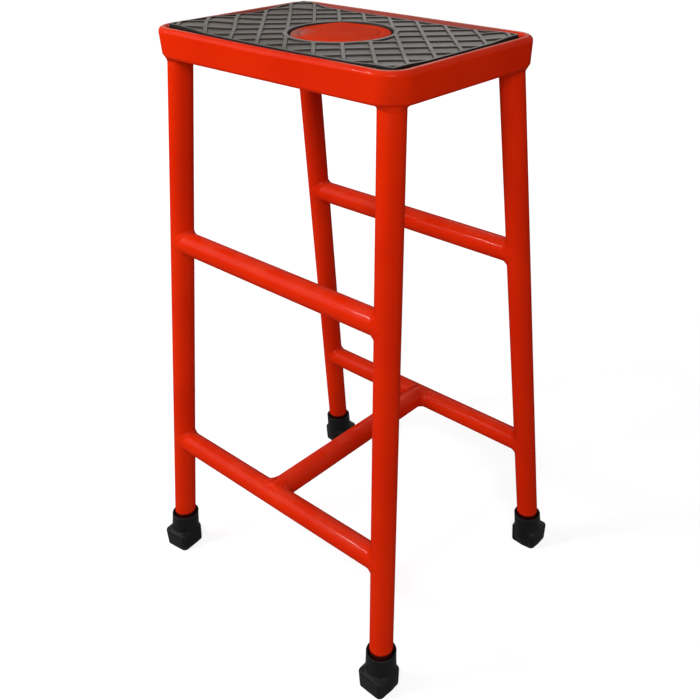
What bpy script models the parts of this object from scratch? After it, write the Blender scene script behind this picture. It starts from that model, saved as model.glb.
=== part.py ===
"""Welded tube stool with a pressed seat pan, a ribbed rubber mat and four rubber feet.

Metres, Z up, floor at z = 0, centre of the seat over the origin.
X runs along the long side of the seat, Y along the short side.
"""

import math

import bpy
import bmesh
from mathutils import Vector

# Driving sizes of the seat pan

PAN_LENGTH = 0.3136
PAN_WIDTH = 0.2092
PAN_CORNER_RADIUS = 0.0240
PAN_CREST_Z = 0.6330
RIM_DEPTH = 0.0068
SKIRT_HEIGHT = 0.0285
SHEET = 0.0012
RIM_RADIUS = 0.0050
RIM_INNER_ANGLE = 45.0
FLOOR_FILLET_RADIUS = 0.0030
SKIRT_TAPER = 0.0010
LIP_RADIUS = 0.0050
LIP_ANGLE = 45.0
LIP_EXTRA_CORNER = 0.0030
BOSS_RADIUS = 0.0485
BOSS_HEIGHT = 0.0038
BOSS_CROWN = 0.0012
BOSS_EDGE = 0.0030
BOSS_FLAT_RADIUS = 0.0100
GROOVE_RADIUS = 0.0380
GROOVE_WIDTH = 0.0040
GROOVE_DEPTH = 0.0006
GROOVE_EDGE = 0.0010

# Driving sizes of the rubber mat

MAT_THICKNESS = 0.0049
MAT_END_GAP = 0.0006
MAT_SIDE_GAP = 0.0012
MAT_CORNER_RADIUS = 0.0080
MAT_RIB_HEIGHT = 0.0014
MAT_RIB_WIDTH = 0.0036
MAT_RIB_FLARE = 0.0004
MAT_RIB_PITCH = 0.0253
MAT_BORDER = 0.0025
MAT_HOLE_CLEARANCE = 0.0015
MAT_RING_WIDTH = 0.0045

# Driving sizes of the frame

TUBE_DIAMETER = 0.025
TUBE_WALL = 0.0015
TUBE_SEGMENTS = 28
LEG_INSET = 0.0196
LEG_SPREAD_X = 0.0300
LEG_SPREAD_Y = 0.0580
UPPER_RAIL_Z = 0.4100
LOWER_RAIL_Z = 0.1560
STRETCHER_RISE = 0.0055

# Driving sizes of a foot

FOOT_SQUARE = 0.0335
FOOT_SQUARE_TAPER = 0.0006
FOOT_CORNER_RADIUS = 0.0055
FOOT_SQUARE_HEIGHT = 0.0230
FOOT_TOP_ROUND = 0.0042
FOOT_SOLE_ROUND = 0.0012
FOOT_SOLE = 0.0070
FOOT_SHIFT_IN = 0.0010
FOOT_SHIFT_OUT = 0.0012
FOOT_SLEEVE_TOP_Z = 0.0455
FOOT_SLEEVE_TOP_RADIUS = 0.0162
FOOT_SLEEVE_LOW_RADIUS = 0.0174
FOOT_SLEEVE_LIP = 0.0008
FOOT_FUNNEL_GAP = 0.0018
FOOT_FUNNEL_DEPTH = 0.0040

# Weld beads and clearances

WELD_LEG_LENGTH = 0.0038
SEAT_WELD_LENGTH = 0.0030
WELD_BULGE = 0.0008
WELD_STATIONS = 24
STRETCHER_WELD_STATIONS = 36
GAP = 0.0003
CUT_MARGIN = 0.0050

# Surfaces, as linear red, green and blue with a roughness

PAINT = ((0.62, 0.020, 0.003), 0.30)
MAT_RUBBER = ((0.10, 0.095, 0.090), 0.55)
FOOT_RUBBER = ((0.012, 0.012, 0.013), 0.60)

# Sizes that follow from the ones above

PAN_FLOOR_Z = PAN_CREST_Z - RIM_DEPTH
PAN_LIP_Z = PAN_CREST_Z - SKIRT_HEIGHT
MAT_BOTTOM_Z = PAN_FLOOR_Z + GAP
MAT_TOP_Z = MAT_BOTTOM_Z + MAT_THICKNESS
MAT_HOLE_RADIUS = BOSS_RADIUS + MAT_HOLE_CLEARANCE
TUBE_RADIUS = TUBE_DIAMETER / 2
LEG_TOP_Z = PAN_FLOOR_Z - SHEET - GAP
LEG_BOTTOM_Z = FOOT_SOLE
STRETCHER_Z = LOWER_RAIL_Z + STRETCHER_RISE
CORNERS = {"front_left": (-1, -1), "front_right": (1, -1), "back_right": (1, 1), "back_left": (-1, 1)}


def clear_scene():
    for old in list(bpy.data.objects):
        bpy.data.objects.remove(old, do_unlink=True)


def make_material(name, colour, roughness):
    """Plain surface of one colour, given as linear red, green and blue."""
    material = bpy.data.materials.new(name)
    material.use_nodes = True
    shader = material.node_tree.nodes["Principled BSDF"]
    shader.inputs["Base Color"].default_value = (*colour, 1.0)
    shader.inputs["Roughness"].default_value = roughness
    material.diffuse_color = (*colour, 1.0)
    return material


def add_object(name, points, faces, surface=None, sharp_angle=35.0):
    """Closed mesh from points and faces, with its normals facing out and its own material."""
    mesh = bpy.data.meshes.new(name)
    mesh.from_pydata([tuple(point) for point in points], [], faces)
    work = bmesh.new()
    work.from_mesh(mesh)
    bmesh.ops.recalc_face_normals(work, faces=work.faces)
    work.to_mesh(mesh)
    work.free()
    mesh.shade_smooth()
    mesh.set_sharp_from_angle(angle=math.radians(sharp_angle))
    item = bpy.data.objects.new(name, mesh)
    bpy.context.collection.objects.link(item)
    if surface:
        mesh.materials.append(make_material(name + "_surface", *surface))
    return item


def make_cutter(item):
    item.hide_render = True
    item.display_type = "WIRE"
    return item


def add_boolean(item, tool, operation):
    step = item.modifiers.new(operation.lower(), "BOOLEAN")
    step.operation = operation
    step.solver = "EXACT"
    step.object = tool


def closed_loop_faces(ring_count, ring_size):
    """Quads between neighbouring rings, and between the last ring and the first."""
    faces = []
    for ring in range(ring_count):
        following = (ring + 1) % ring_count
        for step in range(ring_size):
            ahead = (step + 1) % ring_size
            faces.append(
                (
                    ring * ring_size + step,
                    ring * ring_size + ahead,
                    following * ring_size + ahead,
                    following * ring_size + step,
                )
            )
    return faces


def stacked_faces(ring_count, ring_size):
    """Quads between neighbouring rings, with a flat face over each end."""
    faces = closed_loop_faces(ring_count, ring_size)[: (ring_count - 1) * ring_size]
    faces.append(tuple(reversed(range(ring_size))))
    last = (ring_count - 1) * ring_size
    faces.append(tuple(last + step for step in range(ring_size)))
    return faces


# Tubes of the frame


def leg_axis(corner, z):
    """Point on the axis of a leg at height z, which leans outward below the lip of the pan."""
    side_x, side_y = corner
    drop = 1.0 - z / PAN_LIP_Z
    x = PAN_LENGTH / 2 - LEG_INSET + LEG_SPREAD_X * drop
    y = PAN_WIDTH / 2 - LEG_INSET + LEG_SPREAD_Y * drop
    return Vector((side_x * x, side_y * y, z))


def leg_direction(corner):
    return (leg_axis(corner, LEG_TOP_Z) - leg_axis(corner, 0.0)).normalized()


def across(direction):
    """Two unit vectors square to a direction and to each other."""
    first = direction.cross(Vector((0.0, 1.0, 0.0)))
    if first.length < 0.5:
        first = direction.cross(Vector((1.0, 0.0, 0.0)))
    first.normalize()
    return first, direction.cross(first).normalized()


def ring_at_height(corner, radius, z, segments=TUBE_SEGMENTS):
    """Level cut through a leaning cylinder round the axis of a leg."""
    direction = leg_direction(corner)
    first, second = across(direction)
    centre = leg_axis(corner, z)
    points = []
    for step in range(segments):
        angle = 2 * math.pi * step / segments
        point = centre + radius * (math.cos(angle) * first + math.sin(angle) * second)
        points.append(point + direction * ((z - point.z) / direction.z))
    return points


def add_leg(name, corner, surface):
    bore = TUBE_RADIUS - TUBE_WALL
    rings = [
        ring_at_height(corner, TUBE_RADIUS, LEG_BOTTOM_Z),
        ring_at_height(corner, TUBE_RADIUS, LEG_TOP_Z),
        ring_at_height(corner, bore, LEG_TOP_Z),
        ring_at_height(corner, bore, LEG_BOTTOM_Z),
    ]
    points = [point for ring in rings for point in ring]
    return add_object(name, points, closed_loop_faces(len(rings), TUBE_SEGMENTS), surface)


def reach_cylinder(start, direction, origin, axis, radius):
    """Where a line first meets a cylinder, or its nearest pass where it misses."""
    flat_direction = direction - axis * direction.dot(axis)
    offset = start - origin
    flat_offset = offset - axis * offset.dot(axis)
    a = flat_direction.length_squared
    b = flat_offset.dot(flat_direction)
    c = flat_offset.length_squared - radius * radius
    root = math.sqrt(max(b * b - a * c, 0.0))
    return start + direction * ((-b - root) / a)


def rail_frame(centre, direction):
    """Unit vectors round a level rail: sideways and up."""
    up = Vector((0.0, 0.0, 1.0))
    return up.cross(direction).normalized(), up


def coped_ring(centre, direction, radius, target, clearance, overrun):
    """End of a tube cut to fit round the target cylinder, with a clearance."""
    origin, axis = target
    sideways, up = rail_frame(centre, direction)
    limit = (origin - centre).dot(direction) - overrun
    points = []
    for step in range(TUBE_SEGMENTS):
        angle = 2 * math.pi * step / TUBE_SEGMENTS
        start = centre + radius * (math.cos(angle) * sideways + math.sin(angle) * up)
        point = reach_cylinder(start, direction, origin, axis, TUBE_RADIUS + clearance)
        too_far = max((point - centre).dot(direction) - limit, 0.0)
        points.append(point - direction * too_far)
    return points


def add_rail(name, centre, direction, target_low, target_high, overrun, surface):
    """Level tube between two targets, coped at both ends."""
    bore = TUBE_RADIUS - TUBE_WALL
    back = -direction
    low_outer = coped_ring(centre, back, TUBE_RADIUS, target_low, GAP, overrun)
    low_inner = coped_ring(centre, back, bore, target_low, GAP, overrun)
    high_outer = coped_ring(centre, direction, TUBE_RADIUS, target_high, GAP, overrun)
    high_inner = coped_ring(centre, direction, bore, target_high, GAP, overrun)
    half = TUBE_SEGMENTS // 2
    order = [(half - step) % TUBE_SEGMENTS for step in range(TUBE_SEGMENTS)]
    low_outer = [low_outer[index] for index in order]
    low_inner = [low_inner[index] for index in order]
    points = low_outer + high_outer + high_inner + low_inner
    return add_object(name, points, closed_loop_faces(4, TUBE_SEGMENTS), surface)


# Weld beads


def bead_section(seam, normal_a, normal_b, along_a, along_b, size, bulge):
    """Outline of a fillet between two surfaces, kept a clearance off both."""
    corner = seam + (normal_a + normal_b) * (GAP / (1.0 + normal_a.dot(normal_b)))
    foot_a = corner + along_a * size
    foot_b = corner + along_b * size
    lift = (normal_a + normal_b).normalized()
    outline = [foot_a, corner, foot_b]
    for share in (0.67, 0.33):
        swell = 4.0 * share * (1.0 - share)
        chord = foot_a.lerp(foot_b, share)
        toward_corner = (corner - chord) * (0.30 * swell)
        outline.append(chord + toward_corner + lift * (bulge * swell))
    return outline


def add_bead(name, sections, surface):
    points = [point for section in sections for point in section]
    return add_object(name, points, closed_loop_faces(len(sections), len(sections[0])), surface, 60.0)


def rail_bead_sections(centre, direction, target, overrun, stations=WELD_STATIONS):
    """Fillet round the end of a rail where it meets a leg or another rail."""
    origin, axis = target
    sideways, up = rail_frame(centre, direction)
    limit = (origin - centre).dot(direction) - overrun
    seams = []
    for step in range(stations):
        angle = 2 * math.pi * step / stations
        normal = math.cos(angle) * sideways + math.sin(angle) * up
        start = centre + TUBE_RADIUS * normal
        point = reach_cylinder(start, direction, origin, axis, TUBE_RADIUS)
        too_far = max((point - centre).dot(direction) - limit, 0.0)
        seams.append((point - direction * too_far, normal))
    sections = []
    for step in range(stations):
        seam, normal_rail = seams[step]
        before = seams[step - 1][0]
        after = seams[(step + 1) % stations][0]
        tangent = (after - before).normalized()
        offset = seam - origin
        normal_target = (offset - axis * offset.dot(axis)).normalized()
        along_rail = normal_rail.cross(tangent).normalized()
        if along_rail.dot(direction) > 0.0:
            along_rail = -along_rail
        along_target = normal_target.cross(tangent).normalized()
        if along_target.dot(along_rail) > 0.0 and along_target.dot(normal_rail) < 0.5:
            along_target = -along_target
        if along_target.dot(normal_rail) < -0.2:
            along_target = -along_target
        sections.append(
            bead_section(
                seam, normal_rail, normal_target, along_rail, along_target, WELD_LEG_LENGTH, WELD_BULGE
            )
        )
    return sections


def leg_top_bead_sections(corner):
    """Fillet round the top of a leg, under the floor of the seat pan."""
    direction = leg_direction(corner)
    down = Vector((0.0, 0.0, -1.0))
    ring = ring_at_height(corner, TUBE_RADIUS, PAN_FLOOR_Z - SHEET, WELD_STATIONS)
    centre = leg_axis(corner, PAN_FLOOR_Z - SHEET)
    sections = []
    for point in ring:
        offset = point - centre
        normal_leg = (offset - direction * offset.dot(direction)).normalized()
        outward = Vector((offset.x, offset.y, 0.0)).normalized()
        sections.append(
            bead_section(point, normal_leg, down, -direction, outward, SEAT_WELD_LENGTH, 0.0)
        )
    return sections


# Seat pan


def rounded_ring(half_x, half_y, radius, z, long_steps=10, short_steps=6, corner_steps=6):
    """Rounded rectangle at height z, from the middle of the right side, anticlockwise."""
    points = []
    centres = (
        (half_x - radius, half_y - radius, 0.0, long_steps),
        (radius - half_x, half_y - radius, 90.0, short_steps),
        (radius - half_x, radius - half_y, 180.0, long_steps),
        (half_x - radius, radius - half_y, 270.0, short_steps),
    )
    for index, (centre_x, centre_y, turn, side_steps) in enumerate(centres):
        for step in range(corner_steps + 1):
            angle = math.radians(turn + 90.0 * step / corner_steps)
            x = centre_x + radius * math.cos(angle)
            y = centre_y + radius * math.sin(angle)
            points.append(Vector((x, y, z)))
        start = points[-1]
        next_x, next_y, next_turn, _ = centres[(index + 1) % 4]
        angle = math.radians(next_turn)
        end = Vector((next_x + radius * math.cos(angle), next_y + radius * math.sin(angle), z))
        for step in range(1, side_steps):
            points.append(start.lerp(end, step / side_steps))
    return points


def pan_profile():
    """Section of the pan's outer face, as inset, height, inward normal and extra corner rounding."""
    profile = []
    lip_centre_inset = SKIRT_TAPER + LIP_RADIUS
    lip_centre_z = PAN_LIP_Z + LIP_RADIUS * math.sin(math.radians(LIP_ANGLE))
    for step in range(4):
        share = 1.0 - step / 3
        angle = math.radians(LIP_ANGLE * share)
        inset = lip_centre_inset - LIP_RADIUS * math.cos(angle)
        height = lip_centre_z - LIP_RADIUS * math.sin(angle)
        profile.append((inset, height, math.cos(angle), math.sin(angle), LIP_EXTRA_CORNER * share))
    crest_centre_z = PAN_CREST_Z - RIM_RADIUS
    for step in range(6):
        angle = math.radians(90.0 * step / 5)
        inset = RIM_RADIUS - RIM_RADIUS * math.cos(angle)
        height = crest_centre_z + RIM_RADIUS * math.sin(angle)
        profile.append((inset, height, math.cos(angle), -math.sin(angle), 0.0))
    turn = math.radians(RIM_INNER_ANGLE)
    for step in range(1, 4):
        angle = turn * step / 3
        inset = RIM_RADIUS + RIM_RADIUS * math.sin(angle)
        height = crest_centre_z + RIM_RADIUS * math.cos(angle)
        profile.append((inset, height, -math.sin(angle), -math.cos(angle), 0.0))
    slope_start = profile[-1]
    fillet_drop = FLOOR_FILLET_RADIUS * (1.0 - math.cos(turn))
    slope_drop = slope_start[1] - PAN_FLOOR_Z - fillet_drop
    slope_end = slope_start[0] + slope_drop / math.tan(turn)
    fillet_centre_inset = slope_end + FLOOR_FILLET_RADIUS * math.sin(turn)
    fillet_centre_z = PAN_FLOOR_Z + FLOOR_FILLET_RADIUS
    for step in range(4):
        angle = turn * (1.0 - step / 3)
        inset = fillet_centre_inset - FLOOR_FILLET_RADIUS * math.sin(angle)
        height = fillet_centre_z - FLOOR_FILLET_RADIUS * math.cos(angle)
        profile.append((inset, height, -math.sin(angle), -math.cos(angle), 0.0))
    return profile


def boss_profile():
    """Section of the centre disc as radius and height above the floor, from its foot to near its middle."""
    top = BOSS_HEIGHT
    crown = BOSS_CROWN

    def crown_height(radius):
        return top + crown * (1.0 - (radius / BOSS_RADIUS) ** 2)

    groove_out = GROOVE_RADIUS + GROOVE_WIDTH / 2
    groove_in = GROOVE_RADIUS - GROOVE_WIDTH / 2
    half_edge = GROOVE_EDGE / 2
    shoulder = BOSS_RADIUS - BOSS_EDGE
    middle = (groove_in + BOSS_FLAT_RADIUS) / 2
    return [
        (BOSS_RADIUS, 0.0),
        (BOSS_RADIUS - 0.27 * BOSS_EDGE, 0.35 * top),
        (BOSS_RADIUS - 0.60 * BOSS_EDGE, 0.85 * top),
        (shoulder, crown_height(shoulder)),
        (groove_out + half_edge, crown_height(groove_out)),
        (groove_out - half_edge, crown_height(groove_out) - GROOVE_DEPTH),
        (groove_in + half_edge, crown_height(groove_in) - GROOVE_DEPTH),
        (groove_in - half_edge, crown_height(groove_in)),
        (middle, crown_height(middle)),
        (BOSS_FLAT_RADIUS, crown_height(BOSS_FLAT_RADIUS)),
    ]


def add_pan(name, surface):
    half_x = PAN_LENGTH / 2
    half_y = PAN_WIDTH / 2
    outer = []
    inner = []
    for inset, height, inward, upward, extra in pan_profile():
        radius = PAN_CORNER_RADIUS - inset + extra
        outer.append(rounded_ring(half_x - inset, half_y - inset, radius, height))
        deeper = inset + SHEET * inward
        radius = PAN_CORNER_RADIUS - deeper + extra
        inner.append(rounded_ring(half_x - deeper, half_y - deeper, radius, height + SHEET * upward))
    angles = [math.atan2(point.y, point.x) for point in outer[-1]]
    for radius, rise in boss_profile():
        for rings, level in ((outer, PAN_FLOOR_Z), (inner, PAN_FLOOR_Z - SHEET)):
            z = level + rise
            ring = [Vector((radius * math.cos(angle), radius * math.sin(angle), z)) for angle in angles]
            rings.append(ring)
    ring_size = len(outer[0])
    rings = list(reversed(outer)) + inner
    points = [point for ring in rings for point in ring]
    faces = stacked_faces(len(rings), ring_size)
    return add_object(name, points, faces, surface, 40.0)


# Rubber mat


def add_prism(name, outline, low, high, surface=None):
    """Upright solid over a level outline."""
    points = [Vector((point.x, point.y, low)) for point in outline]
    points += [Vector((point.x, point.y, high)) for point in outline]
    return add_object(name, points, stacked_faces(2, len(outline)), surface)


def circle(radius, segments):
    points = []
    for step in range(segments):
        angle = 2 * math.pi * step / segments
        points.append(Vector((radius * math.cos(angle), radius * math.sin(angle), 0.0)))
    return points


def mat_size():
    """Length and width of the mat, which fills the flat floor of the pan but for its edge gaps."""
    floor_inset = pan_profile()[-1][0]
    return PAN_LENGTH - 2 * (floor_inset + MAT_END_GAP), PAN_WIDTH - 2 * (floor_inset + MAT_SIDE_GAP)


def add_pockets(name):
    """All the square hollows between the diagonal ribs, wider at the top."""
    mat_length, mat_width = mat_size()
    floor_z = MAT_TOP_Z - MAT_RIB_HEIGHT
    above = CUT_MARGIN / 5
    half_top = (MAT_RIB_PITCH - MAT_RIB_WIDTH) / 2
    half_floor = half_top - MAT_RIB_FLARE
    half_above = half_top + MAT_RIB_FLARE * above / MAT_RIB_HEIGHT
    reach = math.hypot(mat_length, mat_width) / 2
    count = math.ceil(reach / MAT_RIB_PITCH) + 1
    far_x = mat_length / 2 + MAT_RIB_PITCH
    far_y = mat_width / 2 + MAT_RIB_PITCH
    turn = math.sqrt(0.5)
    points = []
    faces = []
    for row in range(-count, count):
        for column in range(-count, count):
            along = (row + 0.5) * MAT_RIB_PITCH
            sideways = (column + 0.5) * MAT_RIB_PITCH
            centre_x = turn * (along - sideways)
            centre_y = turn * (along + sideways)
            if abs(centre_x) > far_x or abs(centre_y) > far_y:
                continue
            base = len(points)
            for half, z in ((half_floor, floor_z), (half_above, MAT_TOP_Z + above)):
                for step_u, step_v in ((-1, -1), (1, -1), (1, 1), (-1, 1)):
                    u = half * step_u
                    v = half * step_v
                    points.append(Vector((centre_x + turn * (u - v), centre_y + turn * (u + v), z)))
            faces.extend(tuple(base + index for index in face) for face in stacked_faces(2, 4))
    return add_object(name, points, faces)


def mat_outline(inset):
    """Rounded rectangle inside the edge of the mat."""
    mat_length, mat_width = mat_size()
    radius = MAT_CORNER_RADIUS - inset
    return rounded_ring(mat_length / 2 - inset, mat_width / 2 - inset, radius, 0.0, 1, 1, 6)


def add_mat(name, surface):
    """Flat sheet whose top has diagonal ribs inside a plain border, and a plain ring round its hole."""
    mat = add_prism(name, mat_outline(0.0), MAT_BOTTOM_Z, MAT_TOP_Z, surface)
    pockets = make_cutter(add_pockets("helper_mat_pockets"))
    field = mat_outline(MAT_BORDER)
    inside = make_cutter(add_prism("helper_mat_field", field, MAT_BOTTOM_Z, MAT_TOP_Z + CUT_MARGIN))
    add_boolean(pockets, inside, "INTERSECT")
    ring = circle(MAT_HOLE_RADIUS + MAT_RING_WIDTH, 64)
    kept = make_cutter(add_prism("helper_mat_ring", ring, MAT_BOTTOM_Z, MAT_TOP_Z + CUT_MARGIN))
    add_boolean(pockets, kept, "DIFFERENCE")
    hole = circle(MAT_HOLE_RADIUS, 64)
    bore = make_cutter(add_prism("helper_mat_hole", hole, MAT_BOTTOM_Z - CUT_MARGIN, MAT_TOP_Z + CUT_MARGIN))
    add_boolean(mat, pockets, "DIFFERENCE")
    add_boolean(mat, bore, "DIFFERENCE")
    return mat


# Rubber feet


def foot_centre(corner):
    """Middle of the sole, a little off the leg's axis: inward along X and outward along Y."""
    side_x, side_y = corner
    return leg_axis(corner, 0.0) + Vector((-side_x * FOOT_SHIFT_IN, side_y * FOOT_SHIFT_OUT, 0.0))


def add_turned(name, corner, levels):
    """Closed solid round the leaning axis of a leg, from heights and radii."""
    rings = [ring_at_height(corner, radius, z) for z, radius in levels]
    points = [point for ring in rings for point in ring]
    return add_object(name, points, stacked_faces(len(rings), TUBE_SEGMENTS))


def add_foot(name, corner, surface):
    """Square block with a leaning round sleeve on top, and a blind socket with a funnel mouth for the leg."""
    centre = foot_centre(corner)
    half = FOOT_SQUARE / 2
    levels = (
        (0.0, FOOT_SQUARE_TAPER + FOOT_SOLE_ROUND),
        (FOOT_SOLE_ROUND, FOOT_SQUARE_TAPER),
        (FOOT_SQUARE_HEIGHT - FOOT_TOP_ROUND, 0.0),
        (FOOT_SQUARE_HEIGHT - 0.5 * FOOT_TOP_ROUND, 0.15 * FOOT_TOP_ROUND),
        (FOOT_SQUARE_HEIGHT - 0.15 * FOOT_TOP_ROUND, 0.5 * FOOT_TOP_ROUND),
        (FOOT_SQUARE_HEIGHT, FOOT_TOP_ROUND),
    )
    points = []
    for z, inset in levels:
        ring = rounded_ring(half - inset, half - inset, FOOT_CORNER_RADIUS - inset, z, 1, 1, 6)
        points.extend(point + centre for point in ring)
    foot = add_object(name, points, stacked_faces(len(levels), len(points) // len(levels)), surface)
    sleeve_levels = (
        (FOOT_SOLE, FOOT_SLEEVE_LOW_RADIUS - FOOT_SLEEVE_LIP),
        (FOOT_SQUARE_HEIGHT, FOOT_SLEEVE_LOW_RADIUS),
        (FOOT_SLEEVE_TOP_Z - FOOT_SLEEVE_LIP, FOOT_SLEEVE_TOP_RADIUS),
        (FOOT_SLEEVE_TOP_Z, FOOT_SLEEVE_TOP_RADIUS - FOOT_SLEEVE_LIP),
    )
    socket_radius = TUBE_RADIUS + GAP
    funnel_slope = FOOT_FUNNEL_GAP / FOOT_FUNNEL_DEPTH
    socket_levels = (
        (LEG_BOTTOM_Z - GAP, socket_radius),
        (FOOT_SLEEVE_TOP_Z - FOOT_FUNNEL_DEPTH, socket_radius),
        (FOOT_SLEEVE_TOP_Z + CUT_MARGIN, socket_radius + FOOT_FUNNEL_GAP + funnel_slope * CUT_MARGIN),
    )
    add_boolean(foot, make_cutter(add_turned("helper_sleeve_" + name, corner, sleeve_levels)), "UNION")
    add_boolean(foot, make_cutter(add_turned("helper_socket_" + name, corner, socket_levels)), "DIFFERENCE")
    return foot


def build():
    clear_scene()
    add_pan("seat_pan", PAINT)
    add_mat("seat_mat", MAT_RUBBER)
    for place, corner in CORNERS.items():
        add_leg("leg_" + place, corner, PAINT)
        add_foot("foot_" + place, corner, FOOT_RUBBER)
        add_bead("weld_seat_" + place, leg_top_bead_sections(corner), PAINT)
    along_x = Vector((1.0, 0.0, 0.0))
    for level, z in (("upper", UPPER_RAIL_Z), ("lower", LOWER_RAIL_Z)):
        for side, sign in (("front", -1), ("back", 1)):
            left = leg_axis((-1, sign), z), leg_direction((-1, sign))
            right = leg_axis((1, sign), z), leg_direction((1, sign))
            centre = Vector((0.0, left[0].y, z))
            add_rail("rail_" + level + "_" + side, centre, along_x, left, right, 0.0, PAINT)
            for end, direction, target in (("left", -along_x, left), ("right", along_x, right)):
                name = "_".join(("weld", level, side, end))
                add_bead(name, rail_bead_sections(centre, direction, target, 0.0), PAINT)
    along_y = Vector((0.0, 1.0, 0.0))
    centre = Vector((0.0, 0.0, STRETCHER_Z))
    targets = []
    for sign in (-1, 1):
        rail_y = leg_axis((1, sign), LOWER_RAIL_Z).y
        targets.append((Vector((0.0, rail_y, LOWER_RAIL_Z)), along_x))
    overrun = 0.25 * TUBE_RADIUS
    add_rail("centre_stretcher", centre, along_y, targets[0], targets[1], overrun, PAINT)
    for end, direction, target in (("front", -along_y, targets[0]), ("back", along_y, targets[1])):
        sections = rail_bead_sections(centre, direction, target, overrun, STRETCHER_WELD_STATIONS)
        add_bead("weld_stretcher_" + end, sections, PAINT)


build()
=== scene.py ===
"""Looks of the welded tube stool: gloss red paint, ribbed rubber mat, moulded rubber feet.

Metres, Z up, floor at z = 0, centre of the seat over the origin.
Every new surface is a grid of points worked out with numpy and stands for the CAD node that it covers.
"""

import math

import bpy
import numpy as np
from mathutils import Matrix


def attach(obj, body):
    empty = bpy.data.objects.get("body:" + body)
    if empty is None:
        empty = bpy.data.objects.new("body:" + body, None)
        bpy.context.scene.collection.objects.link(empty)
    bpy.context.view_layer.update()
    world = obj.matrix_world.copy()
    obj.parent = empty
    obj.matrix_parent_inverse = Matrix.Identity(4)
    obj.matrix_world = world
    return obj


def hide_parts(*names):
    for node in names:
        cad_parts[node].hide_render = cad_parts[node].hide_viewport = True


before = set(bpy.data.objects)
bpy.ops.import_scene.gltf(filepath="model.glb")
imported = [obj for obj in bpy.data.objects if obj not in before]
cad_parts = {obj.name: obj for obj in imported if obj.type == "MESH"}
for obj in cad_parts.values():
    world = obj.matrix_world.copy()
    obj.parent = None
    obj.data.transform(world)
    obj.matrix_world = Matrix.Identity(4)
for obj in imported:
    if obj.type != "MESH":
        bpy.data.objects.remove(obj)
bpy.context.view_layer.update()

# Sizes of the seat pan: those of its solid, but for a disc with a radius 1.3 mm larger

PAN_LENGTH = 0.3136
PAN_WIDTH = 0.2092
PAN_CORNER = 0.0240
CREST_Z = 0.6330
PAN_FLOOR_Z = 0.6262
LIP_Z = 0.6045
SHEET = 0.0012
RIM_RADIUS = 0.0050
RIM_INNER_ANGLE = math.radians(45.0)
FLOOR_FILLET = 0.0030
SKIRT_TAPER = 0.0010
LIP_RADIUS = 0.0050
LIP_ANGLE = math.radians(45.0)
LIP_EXTRA_CORNER = 0.0030
DISC_RADIUS = 0.0498
DISC_RISE = 0.0038
DISC_CROWN = 0.0012
DISC_EDGE = 0.0030
DISC_POLE = 0.0004
GROOVE_RADIUS = 0.0380
GROOVE_WIDTH = 0.0040
GROOVE_DEPTH = 0.0006

# Sizes of the rubber mat: those of its solid, but for sharper corners

MAT_LENGTH = 0.2822
MAT_WIDTH = 0.1766
MAT_CORNER = 0.0036
MAT_BOTTOM_Z = 0.6265
MAT_TOP_Z = 0.6314
MAT_BORDER = 0.0025
MAT_EDGE = 0.0005
RIB_HEIGHT = 0.0014
RIB_WIDTH = 0.0036
RIB_TOP_SHARE = 0.86
RIB_FOOT_SHARE = 1.30
RIB_FLARE = 0.0004
RIB_PITCH = 0.0253
HOLE_RADIUS = 0.0500
HOLE_RING = 0.0045

# Steps that keep the mat's joined pieces from sharing a plane, and how far its cutters and spare stock reach

MAT_BASE_STEP = 0.00013
MAT_TOP_STEP = 0.00004
BORE_TOP_STEP = 0.00010
FLARE_FOOT_STEP = 0.00020
CUTTER_REACH = 0.0050
RING_SPARE = 0.0060
SHEET_SPARE = 0.0040

# Sizes of the frame's tubes and welds: those of the solids, but for a lower stretcher with larger beads

TUBE_RADIUS = 0.0125
TUBE_WALL = 0.0015
TUBE_EDGE = 0.0003
LEG_INSET = 0.0196
LEG_SPREAD_X = 0.0300
LEG_SPREAD_Y = 0.0580
LEG_TOP_Z = PAN_FLOOR_Z - SHEET
LEG_BOTTOM_Z = 0.0070
UPPER_RAIL_Z = 0.4100
LOWER_RAIL_Z = 0.1560
STRETCHER_Z = 0.1590
WELD_SIZE = 0.0042
STRETCHER_WELD_SIZE = 0.0060
SEAT_WELD_SIZE = 0.0032
SINK = 0.0003
BEAD_HANDLE = 0.34
BEAD_FULLNESS = 0.0002
BEAD_CROWN = 0.00045
BEAD_RIPPLE = 0.00010
SEAT_BEAD_RIPPLE = 0.00008
BEAD_SHARP = 70.0
LIP_BEAD_NEAR = 0.0017
LIP_BEAD_FAR = 0.0050
LIP_BEAD_DROP_NEAR = 0.0080
LIP_BEAD_DROP_FAR = 0.0046
LIP_BEAD_WIDE = math.radians(60.0)
LIP_BEAD_FADE = 0.97
LIP_BEAD_FADE_START = math.radians(80.0)
LIP_BEAD_FADE_END = math.radians(130.0)

# Sizes of a rubber foot: those of its solid, but for a sharper edge round the block's top

FOOT_SQUARE = 0.0335
FOOT_TAPER = 0.0006
FOOT_CORNER = 0.0055
FOOT_BLOCK_Z = 0.0230
FOOT_TOP_ROUND = 0.0024
FOOT_SOLE_ROUND = 0.0012
FOOT_SHIFT_IN = 0.0010
FOOT_SHIFT_OUT = 0.0012
FOOT_BLEND = 0.0016
FOOT_BLEND_SWELL = 0.0002
FOOT_POLE = 0.0020
LEAST_CORNER = 0.0010
SLEEVE_TOP_Z = 0.0455
SLEEVE_TOP_RADIUS = 0.0162
SLEEVE_LOW_RADIUS = 0.0174
SLEEVE_TUCK = 0.0022
SLEEVE_TUCK_Z = 0.0120
SLEEVE_LIP = 0.0008
FUNNEL_GAP = 0.0018
FUNNEL_DEPTH = 0.0040
SOCKET_GAP = 0.00012
SOCKET_FLOOR_GAP = 0.0001

CORNERS = {"front_left": (-1, -1), "front_right": (1, -1), "back_right": (1, 1), "back_left": (-1, 1)}

# Used shape: each mat corner's lift with its reach along X and Y, and how far a corner spreads along X and Y

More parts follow.
